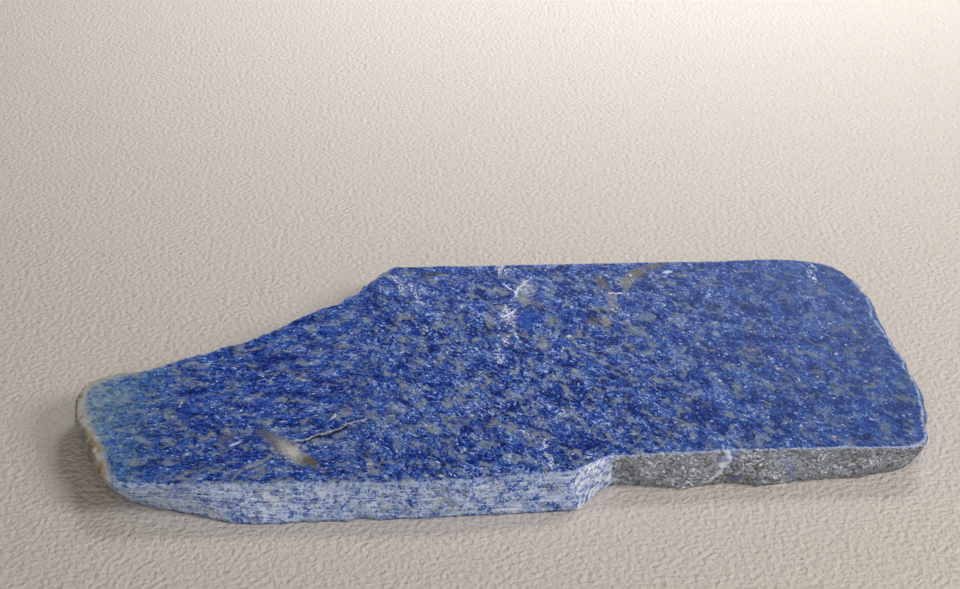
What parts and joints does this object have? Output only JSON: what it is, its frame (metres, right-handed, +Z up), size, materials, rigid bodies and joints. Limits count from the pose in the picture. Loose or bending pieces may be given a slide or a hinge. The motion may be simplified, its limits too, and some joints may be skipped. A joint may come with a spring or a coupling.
{
  "type": "rough lapis lazuli slab",
  "caption": "Sawn slab of rough lapis lazuli with flat faces, a straight sawn back edge, a stepped front, a crusted left end and broken sides, lying on its underside.",
  "frame": {"origin": "middle of the slab's length and width, on the flat underside that it lies on", "axes": "+X along the straight sawn back edge, +Y from the stepped front to the back edge, +Z up through the thickness"},
  "size_m": [0.163, 0.081, 0.008],
  "materials": {
    "lapis_lazuli": "sawn, satin-matte, with rough broken edges"
  },
  "bodies": {
    "root": {"lapis_slab": "lapis_lazuli"}
  },
  "joints": []
}
